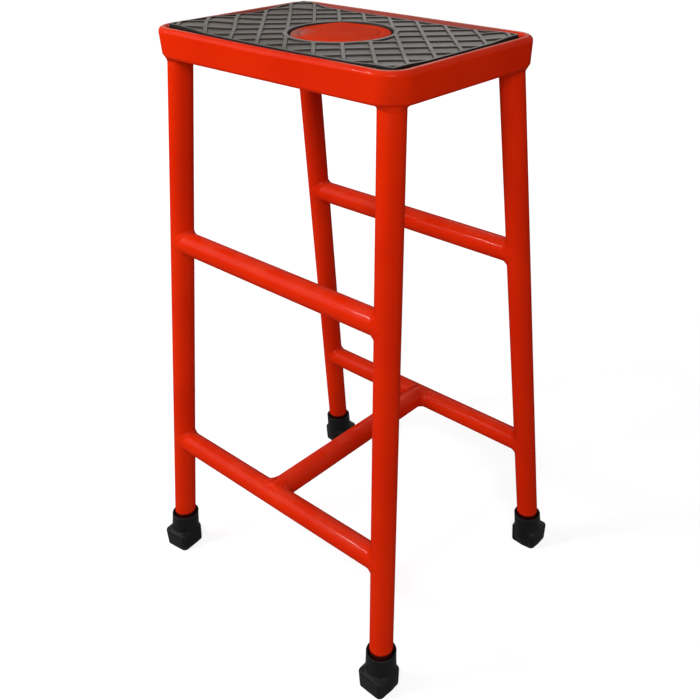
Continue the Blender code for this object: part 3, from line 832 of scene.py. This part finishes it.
def circle_reach(angle, shift_x, shift_y, radius):
    """Distance from the middle to a circle whose own centre is shifted from it."""
    along = shift_x * np.cos(angle) + shift_y * np.sin(angle)
    return along + np.sqrt(radius**2 - shift_x**2 - shift_y**2 + along**2)


def soft_max(a, b, blend):
    """Larger of two values, with a rounded change-over as wide as the blend."""
    return 0.5 * (a + b + np.sqrt((a - b) ** 2 + blend**2))


def foot_outside(corner, base, angle, turn):
    """Rounded square block that grows out of a leaning sleeve: their reaches joined by a soft maximum.

    Rows run up from the sole's rounding to the sleeve's top. Above its own top the block is gone.
    """
    sole_angle = np.linspace(0.5 * np.pi, 0.0, 6)[:-1]
    sole_z = FOOT_SOLE_ROUND * (1.0 - np.sin(sole_angle))
    flat_z = np.linspace(FOOT_SOLE_ROUND, FOOT_BLOCK_Z - FOOT_TOP_ROUND, 8)
    top_angle = np.linspace(0.0, 0.5 * np.pi, 12)[1:]
    top_z = FOOT_BLOCK_Z - FOOT_TOP_ROUND + FOOT_TOP_ROUND * np.sin(top_angle)
    sleeve_z = np.linspace(FOOT_BLOCK_Z, SLEEVE_TOP_Z - SLEEVE_LIP, 16)[1:]
    z = np.concatenate([sole_z, flat_z, top_z, sleeve_z])
    sole_inset = FOOT_SOLE_ROUND * (1.0 - np.cos(sole_angle))
    top_inset = FOOT_TOP_ROUND * (1.0 - np.cos(top_angle))
    gone = np.full_like(sleeve_z, FOOT_SQUARE)
    inset = np.concatenate([sole_inset, np.zeros_like(flat_z), top_inset, gone])
    taper = FOOT_TAPER * np.clip(1.0 - z / (FOOT_BLOCK_Z - FOOT_TOP_ROUND), 0.0, 1.0)
    half = np.maximum(FOOT_SQUARE / 2 - inset - taper, FOOT_POLE)
    rounding = np.minimum(np.maximum(FOOT_CORNER - inset, LEAST_CORNER), half)
    square = square_reach(angle - turn, half[:, None], rounding[:, None])
    rise = smooth_step(0.0, SLEEVE_TOP_Z, z)
    sleeve_radius = SLEEVE_LOW_RADIUS + (SLEEVE_TOP_RADIUS - SLEEVE_LOW_RADIUS) * rise
    tuck = SLEEVE_TUCK * (1.0 - smooth_step(0.0, SLEEVE_TUCK_Z, z))
    sleeve_radius = sleeve_radius - tuck - inset * (z < FOOT_SOLE_ROUND)
    shift = leg_axis(corner, z) - base
    sleeve = circle_reach(angle, shift[:, :1], shift[:, 1:2], sleeve_radius[:, None])
    reach = soft_max(square, sleeve, FOOT_BLEND) - FOOT_BLEND_SWELL
    return points_at(base[0] + reach * np.cos(angle), base[1] + reach * np.sin(angle), z[:, None])


def foot_mouth(corner, angle):
    """Circles round the leg's axis: the sleeve's round lip, a funnel that narrows by a power, the socket."""
    lip_angle = np.linspace(0.0, np.pi, 9)[1:]
    lip_half = (SLEEVE_TOP_RADIUS - TUBE_RADIUS - FUNNEL_GAP) / 2
    lip_radius = SLEEVE_TOP_RADIUS - lip_half + lip_half * np.cos(lip_angle)
    lip_z = SLEEVE_TOP_Z - SLEEVE_LIP + SLEEVE_LIP * np.sin(lip_angle)
    down = np.linspace(0.0, 1.0, 7)[1:]
    funnel_radius = TUBE_RADIUS + FUNNEL_GAP * (1.0 - down) ** 1.5 + SOCKET_GAP
    funnel_z = SLEEVE_TOP_Z - SLEEVE_LIP - FUNNEL_DEPTH * down
    socket_radius = [TUBE_RADIUS + SOCKET_GAP, FOOT_POLE]
    radius = np.concatenate([lip_radius, funnel_radius, socket_radius])[:, None]
    z = np.concatenate([lip_z, funnel_z, np.full(2, LEG_BOTTOM_Z - SOCKET_FLOOR_GAP)])[:, None]
    centre = leg_axis(corner, z)
    return points_at(centre[..., 0] + radius * np.cos(angle), centre[..., 1] + radius * np.sin(angle), z)


def make_foot(place, corner, material, steps=144):
    """Rows from the middle of the sole out and up the outside, over the funnel's lip and down the socket."""
    base = leg_axis(corner, 0.0) + np.array([-corner[0] * FOOT_SHIFT_IN, corner[1] * FOOT_SHIFT_OUT, 0.0])
    angle = full_turn(steps)
    outside = foot_outside(corner, base, angle, math.radians(FOOT_TURNS[place]))
    share = np.array([0.15, 0.6])[:, None, None]
    sole = outside[0] * share + base * (1.0 - share)
    grid = np.concatenate([sole, outside, foot_mouth(corner, angle)])
    dress(add_surface("rubber_foot_" + place, grid, sharp=55.0), material, "foot_rubber", "foot_" + place)


# Shader nodes


def fill(tree, item, inputs):
    """Fills a node's inputs by name or number: a plain value is written, another node's output is linked."""
    for key, value in inputs.items():
        if isinstance(value, bpy.types.NodeSocket):
            tree.links.new(value, item.inputs[key])
        else:
            item.inputs[key].default_value = value


def node(tree, kind, inputs=None, **settings):
    """One node with its settings and its inputs."""
    item = tree.nodes.new(kind)
    for key, value in settings.items():
        setattr(item, key, value)
    fill(tree, item, inputs or {})
    return item


def maths(tree, operation, *values):
    """Result of a Math node over masks or plain numbers."""
    return node(tree, "ShaderNodeMath", dict(enumerate(values)), operation=operation).outputs[0]


def vector_maths(tree, operation, *values):
    """Outputs of a Vector Math node: its vector is the first, its number is called Value."""
    return node(tree, "ShaderNodeVectorMath", dict(enumerate(values)), operation=operation).outputs


def times(tree, product, *others):
    """Product of masks and plain numbers."""
    for other in others:
        product = maths(tree, "MULTIPLY", product, other)
    return product


def ramp(tree, value, low, high):
    """Mask that rises smoothly from nought at low to one at high, or falls where low is the larger."""
    inputs = {"Value": value, "From Min": low, "From Max": high}
    return node(tree, "ShaderNodeMapRange", inputs, interpolation_type="SMOOTHSTEP").outputs["Result"]


def blend_value(tree, factor, low, high):
    """Value that runs from low to high as the mask runs from nought to one."""
    inputs = {"Value": factor, "To Min": low, "To Max": high}
    return node(tree, "ShaderNodeMapRange", inputs).outputs["Result"]


def mix_colour(tree, factor, first, second):
    """Mix of two colours by a mask; either colour may be a fixed value or the output of a node."""
    item = node(tree, "ShaderNodeMix", {"Factor": factor}, data_type="RGBA")
    sockets = [key for key, socket in enumerate(item.inputs) if socket.type == "RGBA"]
    for key, colour in zip(sockets, (first, second)):
        fill(tree, item, {key: (*colour, 1.0) if isinstance(colour, tuple) else colour})
    return [socket for socket in item.outputs if socket.type == "RGBA"][0]


def z_of(tree, vector):
    """Upright part of a vector: a place's height, or one for a normal on a level top and nought on a wall."""
    return node(tree, "ShaderNodeSeparateXYZ", {0: vector}).outputs["Z"]


def face_normal(tree):
    return node(tree, "ShaderNodeNewGeometry").outputs["Normal"]


def from_axis(tree, place):
    """Distance from the upright axis: the length of the place with its Z made nought."""
    level = vector_maths(tree, "MULTIPLY", place, (1.0, 1.0, 0.0))[0]
    return vector_maths(tree, "LENGTH", level)["Value"]


def from_point(tree, place, point):
    return vector_maths(tree, "DISTANCE", place, point)["Value"]


def facing_axis(tree, place):
    """How far the normal turns towards the upright axis: its level part against the place's own direction."""
    level = vector_maths(tree, "MULTIPLY", place, (-1.0, -1.0, 0.0))[0]
    inward = vector_maths(tree, "NORMALIZE", level)[0]
    return vector_maths(tree, "DOT_PRODUCT", inward, face_normal(tree))["Value"]


def noise(tree, place, scale, detail):
    inputs = {"Vector": place, "Scale": scale, "Detail": detail}
    return node(tree, "ShaderNodeTexNoise", inputs).outputs["Fac"]


def bump(tree, height, strength, distance):
    """Normal that leans as a height over the surface would make it."""
    inputs = {"Height": height, "Strength": strength, "Distance": distance}
    return node(tree, "ShaderNodeBump", inputs).outputs["Normal"]


# Shader node groups


def start_group(name, numbers, results):
    """Node group that takes a vector and numbers with defaults; its tree, its inputs and its end node."""
    tree = bpy.data.node_groups.new(name, "ShaderNodeTree")
    tree.interface.new_socket("Vector", in_out="INPUT", socket_type="NodeSocketVector")
    for label, value in numbers.items():
        socket = tree.interface.new_socket(label, in_out="INPUT", socket_type="NodeSocketFloat")
        socket.default_value = value
    for label in results:
        tree.interface.new_socket(label, in_out="OUTPUT", socket_type="NodeSocketFloat")
    return tree, node(tree, "NodeGroupInput").outputs, node(tree, "NodeGroupOutput")


def use_group(tree, group, place, **values):
    """Outputs of a group placed in a material with its own values."""
    return node(tree, "ShaderNodeGroup", {"Vector": place, **values}, node_tree=group).outputs


def grain_group():
    """Even grain: two noises of near sizes mixed, so that no lattice shows. Puts out a height and a mask."""
    tree, start, end = start_group("fine_grain", {"Scale": 400.0, "Detail": 2.0}, ("Height", "Mask"))
    fine = noise(tree, start["Vector"], start["Scale"], start["Detail"])
    coarse = noise(tree, start["Vector"], times(tree, start["Scale"], 0.37), 2.0)
    height = maths(tree, "MULTIPLY_ADD", fine, 0.6, times(tree, coarse, 0.4))
    fill(tree, end, {"Height": height, "Mask": ramp(tree, coarse, 0.35, 0.65)})
    return tree


def dust_group():
    """Dust that lies on what faces up: the normal's Z above a start, broken up by a soft noise."""
    tree, start, end = start_group("settled_dust", {"Amount": 0.2}, ("Mask",))
    upward = ramp(tree, z_of(tree, face_normal(tree)), 0.3, 0.95)
    patchy = ramp(tree, noise(tree, start["Vector"], 38.0, 5.0), 0.30, 0.75)
    fill(tree, end, {"Mask": times(tree, upward, patchy, start["Amount"])})
    return tree


# Materials


def start_material(name):
    """New material, its node tree, its shader, and the place on the object that its patterns read."""
    material = bpy.data.materials.new(name)
    material.use_nodes = True
    tree = material.node_tree
    return material, tree, tree.nodes["Principled BSDF"], node(tree, "ShaderNodeTexCoord").outputs["Object"]


def paint_material(grain, dust):
    """Gloss red powder coat: orange peel, dull disc, darker greyer inner rim slopes, a painted highlight on
    the crest, painted shade on the leg ends.
    """
    material, tree, shader, place = start_material("gloss_red_paint")
    slow = use_group(tree, grain, place, Scale=26.0, Detail=3.0)["Mask"]
    rub = use_group(tree, grain, place, Scale=120.0, Detail=3.0)["Mask"]
    peel = use_group(tree, grain, place, Scale=520.0, Detail=1.0)["Height"]
    settled = use_group(tree, dust, place, Amount=0.10)["Mask"]
    height = z_of(tree, place)
    upward = z_of(tree, face_normal(tree))
    radius = from_axis(tree, place)
    above_floor = ramp(tree, height, PAN_FLOOR_Z + SLOPE_DARK_START, PAN_FLOOR_Z + SLOPE_DARK_FULL)
    inside = ramp(tree, radius, DISC_RADIUS + DISC_MARGIN, DISC_RADIUS - DISC_MARGIN / 2)
    on_seat = ramp(tree, height, LEG_TOP_Z - SEAT_START, LEG_TOP_Z - SEAT_FULL)
    disc = times(tree, inside, on_seat, ramp(tree, upward, 0.10, 0.40))
    outside = ramp(tree, radius, DISC_RADIUS + DISC_MARGIN, DISC_RADIUS + OUTSIDE_DISC_FULL)
    # Darker, greyer paint on the rim's inward-facing slopes above the floor, kept off the disc and away from
    # two corners
    inward = ramp(tree, facing_axis(tree, place), 0.08, 0.28)
    slope = times(tree, ramp(tree, upward, 0.25, 0.60), inward, times(tree, above_floor, outside))
    for undarkened_place in UNDARKENED_RIM_PLACES:
        away = from_point(tree, place, undarkened_place)
        slope = times(tree, slope, ramp(tree, away, UNDARKENED_RIM_CORE, UNDARKENED_RIM_REACH))
    # Painted highlight: a pale line along the crest, made patchy by a grain mask
    crest = times(tree, ramp(tree, height, CREST_Z - CREST_HIGHLIGHT_START, CREST_Z - CREST_HIGHLIGHT_FULL), outside)
    crest_highlight = times(tree, crest, blend_value(tree, rub, 0.45, 0.85))
    # Painted shade: the legs turn near black just above the feet's mouths
    socket_shade = ramp(tree, height, SLEEVE_TOP_Z + LEG_SHADE_START, SLEEVE_TOP_Z + LEG_SHADE_FULL)
    pale = ramp(tree, from_point(tree, place, DISC_PALE_PLACE), DISC_PALE_REACH, DISC_PALE_CORE)
    colour = mix_colour(tree, slow, RED_DEEP, RED_BRIGHT)
    colour = mix_colour(tree, settled, colour, RED_DUST)
    colour = mix_colour(tree, times(tree, slope, 0.75), colour, RIM_SLOPE_DARK)
    colour = mix_colour(tree, crest_highlight, colour, CREST_PAINTED_HIGHLIGHT)
    colour = mix_colour(tree, times(tree, disc, 0.35), colour, DISC_DULL)
    colour = mix_colour(tree, times(tree, pale, disc, 0.80), colour, DISC_PALE)
    colour = mix_colour(tree, times(tree, socket_shade, 0.97), colour, LEG_END_SHADE)
    dulled = maths(tree, "MAXIMUM", disc, times(tree, slope, 0.6))
    finish = {
        "Base Color": colour,
        "Roughness": blend_value(tree, slow, 0.38, 0.46),
        "Coat Weight": blend_value(tree, dulled, 0.08, 0.03),
        "Coat Roughness": 0.08,
        "Specular IOR Level": 0.0,
        "Normal": bump(tree, peel, 0.18, 0.0004),
    }
    fill(tree, shader, finish)
    return material


def mat_material(grain, dust):
    """Black rubber: dusty sheen on level faces, palest on the ribs' tops, dark rib walls, outer sides near
    black as painted shade.
    """
    material, tree, shader, place = start_material("ribbed_mat_rubber")
    slow = use_group(tree, grain, place, Scale=45.0, Detail=4.0)["Mask"]
    fine = use_group(tree, grain, place, Scale=900.0, Detail=2.0)["Height"]
    settled = use_group(tree, dust, place, Amount=0.35)["Mask"]
    top = ramp(tree, z_of(tree, place), MAT_TOP_Z - 0.55 * RIB_HEIGHT, MAT_TOP_Z - 0.05 * RIB_HEIGHT)
    level = ramp(tree, z_of(tree, face_normal(tree)), 0.78, 0.97)
    within = vector_maths(tree, "ABSOLUTE", place)[0]
    beyond = vector_maths(tree, "SUBTRACT", within, (MAT_LENGTH / 2, MAT_WIDTH / 2, 0.0))[0]
    sides = node(tree, "ShaderNodeSeparateXYZ", {0: beyond}).outputs
    # Painted shade: the mat's outer sides turn near black
    outer = ramp(tree, maths(tree, "MAXIMUM", sides["X"], sides["Y"]), -2.0 * MAT_EDGE, -0.6 * MAT_EDGE)
    wall = mix_colour(tree, outer, MAT_RIB_WALL, MAT_OUTER_SIDE_SHADE)
    colour = mix_colour(tree, slow, MAT_DARK, MAT_LIGHT)
    # The ribs' tops are paler than the pockets between them
    colour = mix_colour(tree, top, colour, MAT_RIB_TOP_PALE)
    colour = mix_colour(tree, settled, colour, MAT_DUST)
    finish = {
        "Base Color": mix_colour(tree, level, wall, colour),
        "Roughness": blend_value(tree, slow, 0.50, 0.62),
        "Coat Weight": blend_value(tree, level, 0.0, 0.40),
        "Coat Roughness": 0.46,
        "Specular IOR Level": 0.10,
        "Normal": bump(tree, fine, 0.25, 0.0003),
    }
    fill(tree, shader, finish)
    return material


def foot_material(grain, dust):
    """Moulded black rubber: a fine spark texture, a duller band of wear and dust near the floor."""
    material, tree, shader, place = start_material("moulded_foot_rubber")
    slow = use_group(tree, grain, place, Scale=90.0, Detail=4.0)["Mask"]
    fine = use_group(tree, grain, place, Scale=1500.0, Detail=1.0)["Height"]
    settled = use_group(tree, dust, place, Amount=0.12)["Mask"]
    wear = times(tree, ramp(tree, z_of(tree, place), 0.010, 0.0), slow)
    colour = mix_colour(tree, slow, FOOT_DARK, FOOT_LIGHT)
    colour = mix_colour(tree, wear, colour, FOOT_WEAR)
    finish = {
        "Base Color": mix_colour(tree, settled, colour, FOOT_DUST),
        "Roughness": blend_value(tree, slow, 0.42, 0.56),
        "Specular IOR Level": 0.14,
        "Normal": bump(tree, fine, 0.2, 0.0002),
    }
    fill(tree, shader, finish)
    return material


# Floor, light and camera


def make_floor():
    """Wide pale floor that takes the stool's shadow. Only the camera sees its glow, stronger far out."""
    corners = np.array([[-1.0, -1.0, 0.0], [1.0, -1.0, 0.0], [1.0, 1.0, 0.0], [-1.0, 1.0, 0.0]])
    floor = mesh_object("studio_floor", FLOOR_HALF * corners, [[0, 1, 2, 3]])
    material, tree, shader, place = start_material("pale_floor")
    far = ramp(tree, from_axis(tree, place), FLOOR_GLOW_START, FLOOR_GLOW_END)
    seen = node(tree, "ShaderNodeLightPath").outputs["Is Camera Ray"]
    glow = times(tree, seen, blend_value(tree, far, FLOOR_GLOW_NEAR, FLOOR_GLOW_FAR))
    fill(tree, shader, {"Base Color": FLOOR_GREY, "Roughness": 0.9, "Specular IOR Level": 0.1})
    fill(tree, shader, {"Emission Color": WHITE, "Emission Strength": glow})
    floor.data.materials.append(material)


def add_lamp(name, place, aim_z, width, power):
    """Round area lamp turned to a point on the upright axis: the columns of its matrix are its three ways."""
    lamp = bpy.data.lights.new(name, "AREA")
    lamp.shape = "DISK"
    lamp.size = width
    lamp.energy = power
    place = np.array(place)
    way = unit(np.array([0.0, 0.0, aim_z]) - place)
    across = unit(np.cross(way, [0.0, 0.0, 1.0]))
    matrix = np.eye(4)
    matrix[:3] = np.stack([across, np.cross(across, way), -way, place], axis=-1)
    add_item(name, lamp).matrix_world = Matrix(matrix.tolist())


def light_scene():
    """White surroundings for the camera and for reflections, a dimmer sky for the rest, and soft lamps."""
    world = bpy.data.worlds.new("studio")
    bpy.context.scene.world = world
    world.use_nodes = True
    tree = world.node_tree
    rays = node(tree, "ShaderNodeLightPath").outputs
    seen = maths(tree, "MAXIMUM", rays["Is Camera Ray"], rays["Is Glossy Ray"])
    seen = maths(tree, "MAXIMUM", seen, rays["Is Transmission Ray"])
    strength = blend_value(tree, seen, SKY_LEVEL, 1.0)
    fill(tree, tree.nodes["Background"], {"Color": WHITE, "Strength": strength})
    for name, settings in LAMPS.items():
        add_lamp(name, *settings)


def place_camera():
    """Camera where the photograph was taken, turned by its azimuth, its elevation and a slight roll."""
    lens = bpy.data.cameras.new("photo_view")
    lens.lens = LENS_LENGTH
    lens.sensor_width = LENS_SENSOR
    lens.shift_x = LENS_SHIFT_X
    lens.shift_y = LENS_SHIFT_Y
    item = add_item("photo_view", lens)
    turn = Matrix.Rotation(math.radians(CAMERA_AZIMUTH), 4, "Z")
    tilt = Matrix.Rotation(math.radians(90.0 - CAMERA_ELEVATION), 4, "X")
    roll = Matrix.Rotation(math.radians(CAMERA_ROLL), 4, "Z")
    item.matrix_world = Matrix.Translation(CAMERA_PLACE) @ turn @ tilt @ roll
    bpy.context.scene.camera = item


grain = grain_group()
dust = dust_group()
paint = paint_material(grain, dust)
mat_rubber = mat_material(grain, dust)
foot_rubber = foot_material(grain, dust)

make_pan(paint)
make_legs(paint)
make_rails(paint)
make_seat_beads(paint)
make_lip_beads(paint)
make_mat(mat_rubber)
for place, corner in CORNERS.items():
    make_foot(place, corner, foot_rubber)

make_floor()
light_scene()
place_camera()
bpy.context.scene.view_settings.view_transform = "Standard"
